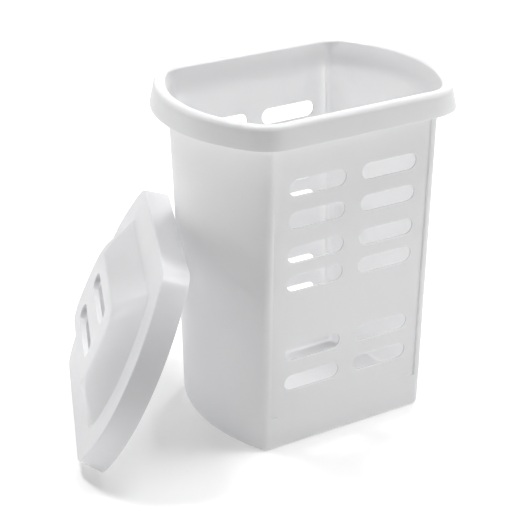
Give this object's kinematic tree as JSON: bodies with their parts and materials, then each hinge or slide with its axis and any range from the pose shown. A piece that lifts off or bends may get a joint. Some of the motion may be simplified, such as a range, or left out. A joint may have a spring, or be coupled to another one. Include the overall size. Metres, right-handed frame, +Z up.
{
  "type": "laundry hamper",
  "caption": "Tall plastic laundry hamper with slotted flat sides, bowed ends and a turned-down rim, its domed lid leaning on one end.",
  "frame": {"origin": "middle of the tub's flat underside, on the floor", "axes": "+Z up; the flat slotted sides face -Y and +Y; the bowed ends are at -X and +X, and the lid leans on the end at -X"},
  "size_m": [0.6558, 0.4779, 0.55],
  "materials": {
    "tub_polypropylene": "frosted white polypropylene, slightly translucent, fine satin surface",
    "lid_polypropylene": "white polypropylene, satin surface"
  },
  "bodies": {
    "tub": {"tub": "tub_polypropylene"},
    "lid": {"lid": "lid_polypropylene"}
  },
  "joints": [
    {"name": "lid_lift", "type": "slide", "parent": "tub", "child": "lid", "axis": [-0.5295, 0.2204, 0.8192], "range_m": [0, 0.45]}
  ]
}
